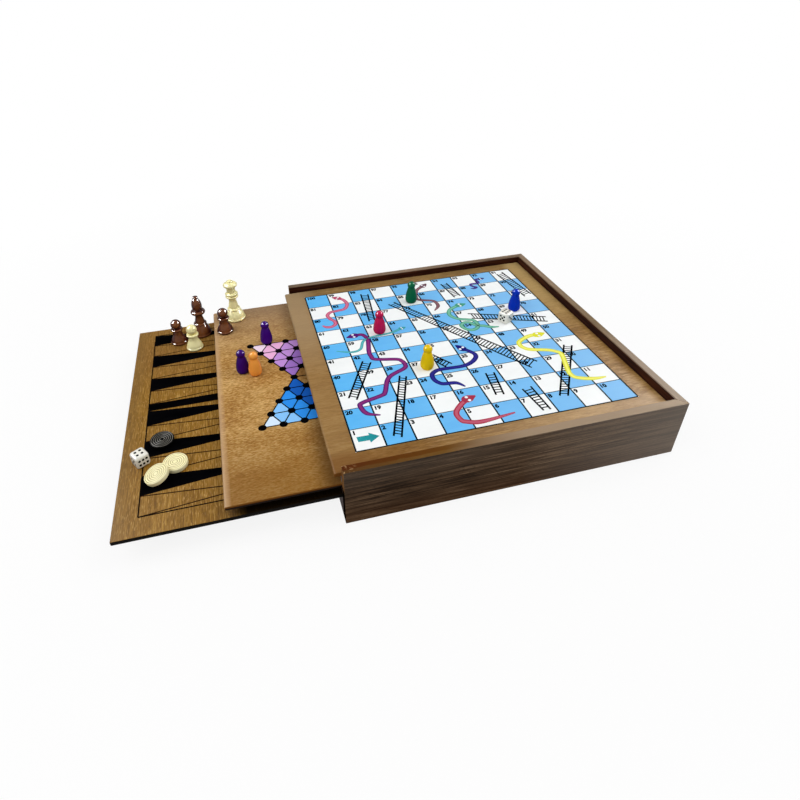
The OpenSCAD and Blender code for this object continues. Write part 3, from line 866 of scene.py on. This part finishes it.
# The grey-brown line on the lowest board's arrises is wear and a painted highlight.
oak_edge = wood("oak_edge", [(0.3, "#070504"), (0.6, "#100b08"), (0.8, "#1e1610")], 0, 2, 0.6, 30,
                12, worn="#4a3e32", specular=0.03)
low_plank = board("backgammon_board", low_round, oak, oak_edge)
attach(low_plank, "lower_board")
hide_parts("backgammon_board")

low_lo, low_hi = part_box("backgammon_board")
low_face = low_hi.z
border = 18.5 * MM
field_near, field_far = -125.4 * MM, 131.9 * MM
bar_near, bar_far = -0.2 * MM, 10.2 * MM
point_l = 106 * MM
points_a_side = 6
point_rule_w = 1.1 * MM
border_w = 1.1 * MM
print_sunk, bar_t, outline_t = 0.01 * MM, 0.04 * MM, 0.045 * MM
point_t, border_t = 0.05 * MM, 0.055 * MM

bm = bmesh.new()
field_left, field_right = low_lo.x + border, low_hi.x - border
film(bm, rectangle(field_left, bar_near, field_right, bar_far), low_face - print_sunk,
     low_face + bar_t)
for start, width in ((field_near, bar_near - field_near), (bar_far, field_far - bar_far)):
    base = width / points_a_side
    for k in range(points_a_side):
        y = start + k * base
        for x, inwards in ((field_left, 1), (field_right, -1)):
            tip = (x + inwards * point_l, y + base / 2)
            outline = [(x, y), tip, (x, y + base)]
            if k % 2 == (1 if inwards > 0 else 0):
                film(bm, outline, low_face - print_sunk, low_face + point_t)
            else:
                for end in (outline[0], outline[2]):
                    rule(bm, end, tip, point_rule_w, low_face, low_face + outline_t, 1)
frame_corners = [(field_left, field_near), (field_right, field_near), (field_right, field_far),
                 (field_left, field_far)]
for k, start in enumerate(frame_corners):
    rule(bm, start, frame_corners[(k + 1) % 4], border_w, low_face, low_face + border_t)
brown_ink = ink("brown_ink", "#22140a", "#321e0e", 0.5, 0.0)
point_print = piece("long_points", bm, dark_ink, brown_ink)
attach(point_print, "lower_board")

# The coloured men. Each is turned in one piece, a bullet-shaped body and a ball head, and dipped
# in glossy lacquer. Each is parented to a body of its own.
turned_sides = 64


def arc(centre, radius, start, end, steps=12):
    """Points of an outline, as radius and height, on an arc from start to end in degrees."""
    return [(centre[0] + radius * math.cos(math.radians(start + (end - start) * k / steps)),
             centre[1] + radius * math.sin(math.radians(start + (end - start) * k / steps)))
            for k in range(steps + 1)]


def taper(first, last, power, steps=16):
    """Points that leave the first point upright and lean in more and more up to the last."""
    return [(first[0] + (last[0] - first[0]) * (k / steps) ** power,
             first[1] + (last[1] - first[1]) * k / steps) for k in range(1, steps + 1)]


def bell(first, last, steps=20):
    """Points that leave the first point upright and come upright again into the last."""
    return [(last[0] + (first[0] - last[0]) * (0.5 + 0.5 * math.cos(math.pi * k / steps)),
             first[1] + (last[1] - first[1]) * k / steps) for k in range(1, steps + 1)]


def turned(outline):
    """A solid turned from an outline of radii and heights in millimetres, foot first."""
    bm = bmesh.new()
    rings = []
    for radius, height in outline:
        if radius < 1e-6:
            rings.append([bm.verts.new((0, 0, height * MM))])
        else:
            rings.append([bm.verts.new((radius * MM * math.cos(math.tau * k / turned_sides),
                                        radius * MM * math.sin(math.tau * k / turned_sides),
                                        height * MM)) for k in range(turned_sides)])
    for low, high in zip(rings, rings[1:]):
        for k in range(turned_sides):
            n = (k + 1) % turned_sides
            face = [low[k % len(low)], low[n % len(low)], high[n % len(high)], high[k % len(high)]]
            bm.faces.new(list(dict.fromkeys(face)))
    return bm


def foot_of(node):
    """The middle of a standing piece's underside."""
    lo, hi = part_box(node)
    return Vector(((lo.x + hi.x) / 2, (lo.y + hi.y) / 2, lo.z))


def lacquer(name, full, deep, roughness=0.16, specular=0.06, fade=0.7, middle=None):
    """A smooth lacquer or moulded plastic, painted deeper where it turns away from the view as
    painted shade, with fine rub marks.
    """
    material, tree, shader = new_material(name, roughness, specular)
    place = add(tree, "TexCoord", {}).outputs["Object"]
    # Painted shade: the colour deepens where the surface turns away from the view.
    away = add(tree, "LayerWeight", {"Blend": 0.35}).outputs["Facing"]
    cloudy = stretched_noise(tree, place, 8, 1, 2.0)
    share = add(tree, "Math", {0: spread(tree, away, 0.1, 0.9, 0, fade),
                               1: spread(tree, cloudy, 0, 1, 0, 0.12)}, operation="ADD")
    stops = [(0, full), (0.25, middle), (1, deep)] if middle else [(0, full), (1, deep)]
    tree.links.new(ramp(tree, share.outputs[0], stops), shader.inputs["Base Color"])
    rubbed = stretched_noise(tree, place, 0.6, 5, 3.0)
    tree.links.new(spread(tree, rubbed, 0.2, 1, roughness - 0.04, roughness + 0.06),
                   shader.inputs["Roughness"])
    return material


man_h = 25.5
man_r = 6.5
man_foot_r = 4.6
man_neck_r = 3.5
man_head_r = 4.4
belly_z = 4.2
head_z = man_h - man_head_r
neck_turn = -math.degrees(math.acos(man_neck_r / man_head_r))
neck_z = head_z + man_head_r * math.sin(math.radians(neck_turn))
man_outline = ([(0, 0), (man_foot_r, 0)]
               + [(man_foot_r + (man_r - man_foot_r) * math.cos(math.radians(a)),
                   belly_z * (1 + math.sin(math.radians(a)))) for a in range(-80, 1, 10)]
               + taper((man_r, belly_z), (man_neck_r, neck_z), 1.7)
               + arc((0, head_z), man_head_r, neck_turn + 6, 84) + [(0, man_h)])
coloured_men = {
    "red_man": ("red_lacquer", "#d01c54", "#840830"),
    "green_man": ("green_lacquer", "#0a6a42", "#043420"),
    "yellow_man": ("yellow_lacquer", "#fcd40c", "#c89800"),
    "blue_man": ("blue_lacquer", "#0636c4", "#04146c"),
    "violet_man": ("violet_lacquer", "#3c0876", "#14022a"),
    "purple_man": ("violet_lacquer", "#400a7c", "#160330"),
    "orange_man": ("orange_lacquer", "#ffac4a", "#dc702e"),
}
for node, (slot, full, deep) in coloured_men.items():
    bm = turned(man_outline)
    bm.transform(Matrix.Translation(foot_of(node)))
    man = piece(node + "_turned", bm, lacquer(node + "_" + slot, full, deep))
    smooth(man)
    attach(man, node + "_loose")
    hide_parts(node)

# The chess men. They are moulded in ivory or red-brown plastic: a foot ring, a bell that draws in
# to a slim stem, collars, and the head that tells the man.
foot_h = 3.0
arris = 0.8
stem_r = 4.0
button_r, button_h = 3.0, 2.6


def foot(radius):
    """The outline of a turned foot ring."""
    return ([(0, 0)] + arc((radius - foot_h / 2, foot_h / 2), foot_h / 2, -90, 60)
            + [(radius - arris, foot_h)])


def collar(radius, thick, top):
    return arc((radius - thick / 2, top - thick / 2), thick / 2, -75, 75)


def ringed_stem(foot_r, ring_z, stem_z, top):
    """The lower half of a tall man: a foot, a full base with a ring, and a stem."""
    ring_r, ring_t = 7.1, 1.8
    return (foot(foot_r)
            + taper((foot_r - arris, foot_h), (ring_r - arris, ring_z - ring_t), 1.7)
            + collar(ring_r, ring_t, ring_z)
            + bell((ring_r - 2 * arris, ring_z), (stem_r, stem_z)) + [(stem_r, top)])


def oval(middle, radius, low, high, start, end, steps=16):
    """Points of an oval about a height, with its own reach downwards and upwards."""
    turns = [math.radians(start + (end - start) * k / steps) for k in range(steps + 1)]
    return [(radius * math.cos(a), middle + (low if a < 0 else high) * math.sin(a)) for a in turns]


def button(top, start):
    return oval(top - button_h / 2, button_r, button_h / 2, button_h / 2, start, 85) + [(0, top)]


pawn_h, pawn_r, pawn_head_r = 28.7, 8.9, 5.6
pawn_head_z = pawn_h - pawn_head_r
pawn_collar_z = pawn_head_z - pawn_head_r + arris
pawn_outline = (foot(pawn_r) + bell((pawn_r - arris, foot_h), (stem_r + arris, 13))
                + [(stem_r, pawn_collar_z - 2.4)] + collar(6.4, 2.4, pawn_collar_z)
                + arc((0, pawn_head_z), pawn_head_r, -60, 86, 20) + [(0, pawn_h)])

tall_h = 48.3
mitre_low, mitre_high, mitre_foot = 10, 9.7, -33
mitre_z = tall_h - button_h / 2 - mitre_high - arris
bishop_collar_z = mitre_z + mitre_low * math.sin(math.radians(mitre_foot))
bishop_outline = (ringed_stem(11, 15.2, 24, bishop_collar_z - 4.4)
                  + collar(7.9, 4.4, bishop_collar_z)
                  + oval(mitre_z, 5.6, mitre_low, mitre_high, mitre_foot, 70, 24)
                  + button(tall_h, -60))

crown_r, crown_t, neck_l = 7.7, 4, 7
crown_z = tall_h - 3.7
upper_z = crown_z - crown_t - arris - neck_l
lower_z = upper_z - 3.2
queen_outline = (ringed_stem(11.5, 13.8, 25, lower_z - 2.4) + collar(7, 2.4, lower_z)
                 + [(stem_r + arris, lower_z + arris / 2)] + collar(7, 2.4, upper_z)
                 + [(stem_r + arris, upper_z + arris), (stem_r + arris, upper_z + neck_l)]
                 + collar(crown_r, crown_t, crown_z)
                 + oval(crown_z - 0.1, 6.1, 1.6, 1.6, 10, 62, 8) + button(tall_h, -30))

ivory = lacquer("ivory", "#fff8bc", "#dccb80", roughness=0.28, specular=0.08, fade=0.5)
# The red-brown is painted golden where it faces the view, as a painted highlight, and near-black
# where it turns away, as painted shade.
red_brown = lacquer("red_brown", "#7e4c28", "#080201", roughness=0.12, specular=0.18, fade=1.0,
                    middle="#502218")
chess_men = {
    "ivory_queen": (queen_outline, ivory, "ivory_men"),
    "ivory_pawn": (pawn_outline, ivory, "ivory_men"),
    "brown_bishop": (bishop_outline, red_brown, "brown_men"),
    "brown_pawn_left": (pawn_outline, red_brown, "brown_men"),
    "brown_pawn_right": (pawn_outline, red_brown, "brown_men"),
}
for node, (outline, finish, slot) in chess_men.items():
    bm = turned(outline)
    bm.transform(Matrix.Translation(foot_of(node)))
    man = piece(node + "_moulded", bm, finish)
    smooth(man, 40)
    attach(man, node + "_loose")
    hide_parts(node)

# The draughts. They are moulded discs with a milled edge of plain plastic and turned rings in
# both faces. Three lie on the lowest board; the rest stand stacked in the tray.
draught_r, draught_t, draught_arris = 10.3, 4.2, 0.8
ring_depth, ring_step, first_ring, rings = 0.32, 1.75, 1.2, 5


def draught_outline(thick):
    """A disc whose face is turned in shallow waves."""
    waves = [(first_ring + ring_step * k / 8,
              thick - ring_depth * (0.5 - 0.5 * math.cos(math.tau * k / 8)))
             for k in range(8 * rings, -1, -1)]
    return ([(0, 0)] + arc((draught_r - draught_arris, draught_arris), draught_arris, -90, 0, 5)
            + arc((draught_r - draught_arris, thick - draught_arris), draught_arris, 0, 80, 5)
            + [w for w in waves if w[0] < draught_r - draught_arris - 0.2] + [(0, thick)])


def ringed(thick):
    """A turned draught whose grooves are numbered for a finish of their own."""
    bm = turned(draught_outline(thick))
    for face in bm.faces:
        middle = face.calc_center_median()
        inside = middle.xy.length < (draught_r - draught_arris - 0.1) * MM
        low, high = (thick - 2 * ring_depth) * MM, (thick - 0.8 * ring_depth) * MM
        face.material_index = int(inside and low < middle.z < high)
    return bm


# The grooves take finishes of their own: darker on the cream draughts, and grey on the black ones,
# which stands for dust and a painted highlight of the rings.
black = lacquer("black", "#050504", "#020202", roughness=0.3, specular=0.01)
cream = lacquer("cream", "#fff9cc", "#eadf9e", roughness=0.4, specular=0.02, fade=0.5)
cream_groove = lacquer("cream_groove", "#b0a060", "#908048", roughness=0.5, specular=0.01)
dust_and_highlight_groove = lacquer("dust_and_highlight_groove", "#6e6a60", "#46423a", roughness=0.5)
# The leaning draught's tilt and turn in degrees, and its place to the side of the flat one.
lean, lean_turn, lean_across = 17.5, 6.7, -10.8
lean_gap = 0.25
lean_along = draught_r + (draught_t + lean_gap) / math.tan(math.radians(lean))
leaning = (Matrix.Translation(foot_of("flat_draught"))
           @ Matrix.Rotation(math.radians(lean_turn), 4, "Z")
           @ Matrix.Translation((-lean_along * MM, lean_across * MM, 0))
           @ Matrix.Rotation(math.radians(-lean), 4, "Y")
           @ Matrix.Translation((draught_r * MM, 0, 0)))
loose_draughts = {
    "flat_draught": (Matrix.Translation(foot_of("flat_draught")), cream, cream_groove, "ivory_men"),
    "black_draught": (Matrix.Translation(foot_of("black_draught")), black, dust_and_highlight_groove,
                      "black_plastic"),
    "leaning_draught": (leaning, cream, cream_groove, "ivory_men"),
}
for node, (place, finish, groove, slot) in loose_draughts.items():
    bm = ringed(draught_t)
    bm.transform(place)
    draught = piece(node + "_ringed", bm, finish, groove)
    smooth(draught, 30)
    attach(draught, node + "_loose")
    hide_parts(node)

stack_gap, stack_height, stack_clear = 0.7, 3, 0.05
stored = {"stored_ivory_draughts": (13, 1, cream, cream_groove, "ivory_men"),
          "stored_black_draughts": (14, -1, black, dust_and_highlight_groove, "black_plastic")}
for node, (count, way, finish, groove, slot) in stored.items():
    lo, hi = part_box(node)
    first_y = lo.y if way > 0 else hi.y
    bm = bmesh.new()
    for k in range(count):
        one = ringed(draught_t - stack_clear)
        one.transform(Matrix.Translation((
            hi.x - draught_r * MM,
            first_y + way * (draught_r + (k // stack_height) * (2 * draught_r + stack_gap)) * MM,
            lo.z + (k % stack_height) * draught_t * MM)))
        held = bpy.data.meshes.new("draught")
        one.to_mesh(held)
        one.free()
        bm.from_mesh(held)
    stack = piece(node + "_ringed", bm, finish, groove)
    smooth(stack, 30)
    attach(stack, "box")
    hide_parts(node)

# The dice. They are polished white plastic with rounded corners, and their spots are small
# hollows painted black. Opposite sides add up to seven.
die_a = 12 * MM
die_arris = 1.9 * MM
die_ball = 0.735
spot_step = 2.1 * MM
spot_d = 2.3 * MM
spot_depth = 0.4 * MM
spot_proud = 0.02 * MM
spot_sides = 20
die_white = lacquer("die_white", "#f2f0e6", "#d6d2c6", roughness=0.22, specular=0.1)
spot_black = lacquer("spot_black", "#0c0c0c", "#050505", roughness=0.35)
side_turns = [(0, "X"), (-90, "X"), (-90, "Y"), (90, "X"), (90, "Y"), (180, "X")]


def spots(count):
    """The places of a side's spots, counted in steps from its middle. A six has longer rows."""
    row = 1.5 if count > 5 else 1
    places = [(0, 0)] if count % 2 else []
    if count > 1:
        places += [(1, row), (-1, -row)]
    if count > 3:
        places += [(1, -row), (-1, row)]
    if count > 5:
        places += [(1, 0), (-1, 0)]
    return places


def die_mesh(counts, quarter):
    """A rounded cube with the counts up, back, left, front, right and down."""
    bm = bmesh.new()
    bmesh.ops.create_cube(bm, size=die_a)
    bmesh.ops.bevel(bm, geom=bm.edges[:], offset=die_arris, segments=5, profile=0.5,
                    affect="EDGES")
    for vert in bm.verts:
        if vert.co.length > die_ball * die_a:
            vert.co *= die_ball * die_a / vert.co.length
    for side, count in enumerate(counts):
        turn = Matrix.Rotation(math.radians(side_turns[side][0]), 4, side_turns[side][1])
        if side == quarter:
            turn = turn @ Matrix.Rotation(math.radians(90), 4, "Z")
        for a, b in spots(count):
            outline = disc((a * spot_step, b * spot_step), spot_d / 2, spot_sides)
            ring, low = [[bm.verts.new(turn @ Vector((x, y, z))) for x, y in outline]
                         for z in (die_a / 2 + spot_proud, die_a / 2 - spot_depth)]
            faces = [bm.faces.new(ring), bm.faces.new(low[::-1])]
            for k in range(spot_sides):
                n = (k + 1) % spot_sides
                faces.append(bm.faces.new((low[k], low[n], ring[n], ring[k])))
            for face in faces:
                face.material_index = 1
    return bm


dice = {"upper_die": (-60, [6, 2, 4, 5, 3, 1], -1), "lower_die": (32, [4, 1, 5, 6, 2, 3], 3)}
for node, (turn, counts, quarter) in dice.items():
    bm = die_mesh(counts, quarter)
    bm.transform(Matrix.Translation(foot_of(node) + UP * die_a / 2)
                 @ Matrix.Rotation(math.radians(turn), 4, "Z"))
    die = piece(node + "_rounded", bm, die_white, spot_black)
    smooth(die, 30)
    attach(die, node + "_loose")
    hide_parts(node)

# The studio: a white floor that runs to the horizon, a sky that pales upwards, and high on either
# side a large soft lamp and a small one for the highlights; then the camera at its place.
sky_low, sky_high = 0.14, 0.72
floor_half = 4.0
floor_middle = (-0.08, 0.0, 0.0)
glow_near, glow_far = 0.88, 1.0
glow_from, glow_to = 0.3, 0.7
# Place, size, power, and the kind of ray that doesn't see the lamp.
lamps = {
    "left_lamp": ((-1.0, -0.2, 1.15), 1.1, 7.9, "visible_glossy"),
    "right_lamp": ((0.95, -0.1, 1.15), 1.1, 7.9, "visible_glossy"),
    "left_spark": ((-1.1, 0.18, 0.94), 0.85, 330.0, "visible_diffuse"),
    "right_spark": ((0.87, 0.12, 0.67), 0.65, 150.0, "visible_diffuse"),
}
lamp_aim = Vector((-0.05, 0, 0.03))
sensor_w, lens_l, lens_shift = 36, 25.552, (0.04625, -0.08525)
camera_place = (-0.20038, -0.44344, 0.3775)
camera_turn = (56.6468, 1.2686, -14.0327)

bm = bmesh.new()
bmesh.ops.create_grid(bm, x_segments=2, y_segments=2, size=floor_half)
floor_paper = bpy.data.materials.new("floor_paper")
floor_paper.use_nodes = True
tree = floor_paper.node_tree
tree.nodes.clear()


def seen_straight(tree):
    """One for rays from the camera or by way of gloss or glass, and nought for the rest."""
    path = add(tree, "LightPath", {})
    either = add(tree, "Math", {0: path.outputs["Is Camera Ray"],
                                1: path.outputs["Is Glossy Ray"]}, operation="MAXIMUM")
    return add(tree, "Math", {0: either.outputs[0], 1: path.outputs["Is Transmission Ray"]},
               operation="MAXIMUM").outputs[0]


seen = seen_straight(tree)
place = add(tree, "TexCoord", {}).outputs["Object"]
away = add(tree, "VectorMath", {0: place, 1: floor_middle}, operation="DISTANCE").outputs["Value"]
glow_share = times(tree, spread(tree, away, glow_from, glow_to, glow_near, glow_far), seen)
paper = add(tree, "BsdfDiffuse", {"Color": blend_colours(tree, seen, "#9f9f9f", "#f2f2f2")})
glow = add(tree, "Emission", {"Color": (1, 1, 1, 1), "Strength": 1.0})
mixed = add(tree, "MixShader", {0: glow_share, 1: paper.outputs[0], 2: glow.outputs[0]})
add(tree, "OutputMaterial", {"Surface": mixed.outputs[0]})
floor = piece("floor", bm, floor_paper)

world = bpy.data.worlds.new("studio")
world.use_nodes = True
bpy.context.scene.world = world
tree = world.node_tree
sky = tree.nodes["Background"]
sky.inputs["Color"].default_value = (1, 1, 1, 1)
up = add(tree, "SeparateXYZ", {"Vector": add(tree, "TexCoord", {}).outputs["Generated"]})
level = spread(tree, up.outputs["Z"], 0, 1, sky_low, sky_high)
level = add(tree, "Mix", {0: seen_straight(tree), 2: level, 3: 1.0}, data_type="FLOAT").outputs[0]
tree.links.new(level, sky.inputs["Strength"])

for name, (place, size, power, unseen) in lamps.items():
    light = bpy.data.lights.new(name, "AREA")
    light.shape, light.size, light.energy = "SQUARE", size, power
    lamp = bpy.data.objects.new(name, light)
    lamp.location = place
    setattr(lamp, unseen, False)
    lamp.rotation_euler = (Vector(place) - lamp_aim).to_track_quat("Z", "Y").to_euler()
    bpy.context.scene.collection.objects.link(lamp)

lens = bpy.data.cameras.new("camera")
lens.sensor_width, lens.lens = sensor_w, lens_l
lens.shift_x, lens.shift_y = lens_shift
lens.clip_start, lens.clip_end = 0.01, 20
camera = bpy.data.objects.new("camera", lens)
camera.location = camera_place
camera.rotation_euler = [math.radians(a) for a in camera_turn]
bpy.context.scene.collection.objects.link(camera)
bpy.context.scene.camera = camera
bpy.context.scene.view_settings.view_transform = "Standard"
